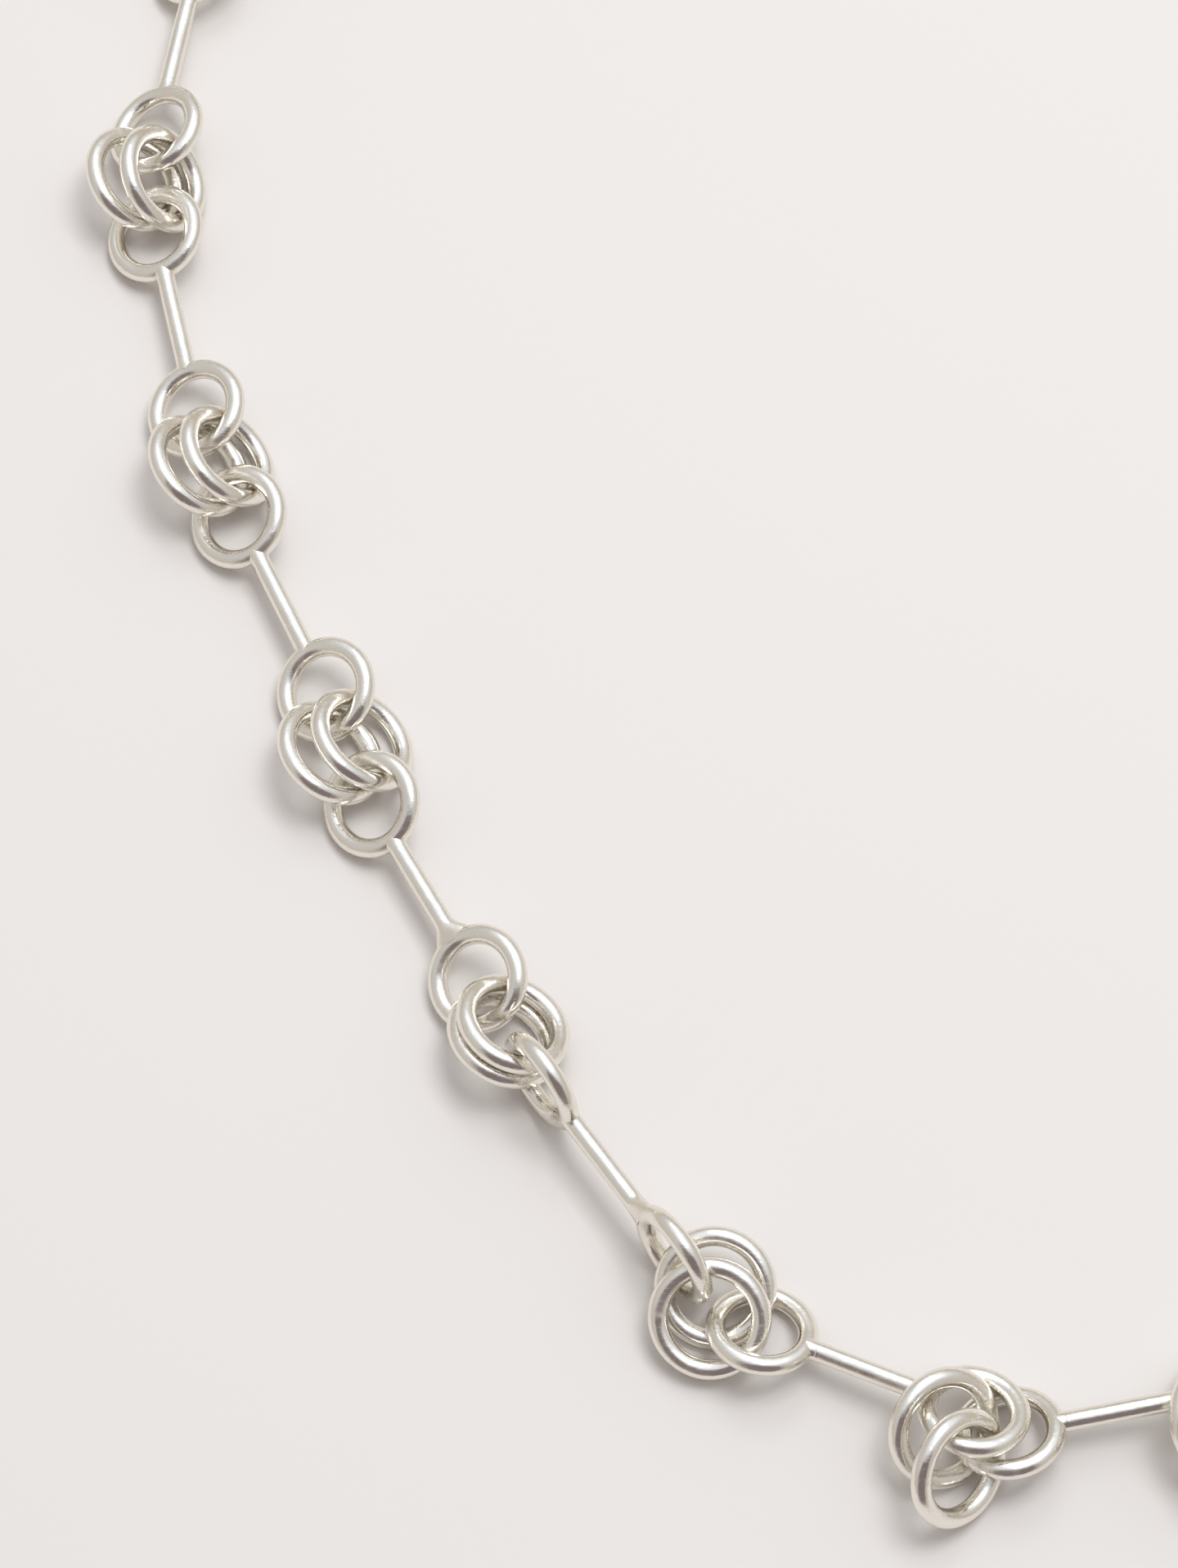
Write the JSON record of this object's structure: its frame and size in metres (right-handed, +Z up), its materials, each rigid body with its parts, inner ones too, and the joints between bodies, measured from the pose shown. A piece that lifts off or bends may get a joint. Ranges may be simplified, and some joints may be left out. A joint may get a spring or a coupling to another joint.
{
  "type": "bar link and double ring chain necklace",
  "caption": "Polished silver necklace of long bar links with a round eye on each end, joined by pairs of loose rings and closed by a plain hook.",
  "frame": {"origin": "centre of the whole loop's bounding box, on the surface that the necklace lies on", "axes": "+Z up out of the surface, +Y along the loop's long way, away from its low end, +X to the right seen from above"},
  "size_m": [0.1394, 0.1678, 0.0082],
  "materials": {
    "silver": "polished sterling silver with a light hand-finished satin"
  },
  "bodies": {
    "root": {"bar_link_01": "silver", "bar_link_02": "silver", "bar_link_03": "silver", "bar_link_04": "silver", "bar_link_05": "silver", "bar_link_06": "silver", "bar_link_07": "silver", "bar_link_08": "silver", "bar_link_09": "silver", "bar_link_10": "silver", "bar_link_11": "silver", "bar_link_12": "silver", "bar_link_13": "silver", "bar_link_14": "silver", "bar_link_15": "silver", "bar_link_16": "silver", "bar_link_17": "silver", "bar_link_18": "silver", "ring_pair_01": "silver", "ring_pair_02": "silver", "ring_pair_03": "silver", "ring_pair_04": "silver", "ring_pair_05": "silver", "ring_pair_06": "silver", "ring_pair_07": "silver", "ring_pair_08": "silver", "ring_pair_09": "silver", "ring_pair_10": "silver", "ring_pair_11": "silver", "ring_pair_12": "silver", "ring_pair_13": "silver", "ring_pair_14": "silver", "ring_pair_15": "silver", "ring_pair_16": "silver", "ring_pair_17": "silver", "s_hook": "silver"}
  },
  "joints": []
}
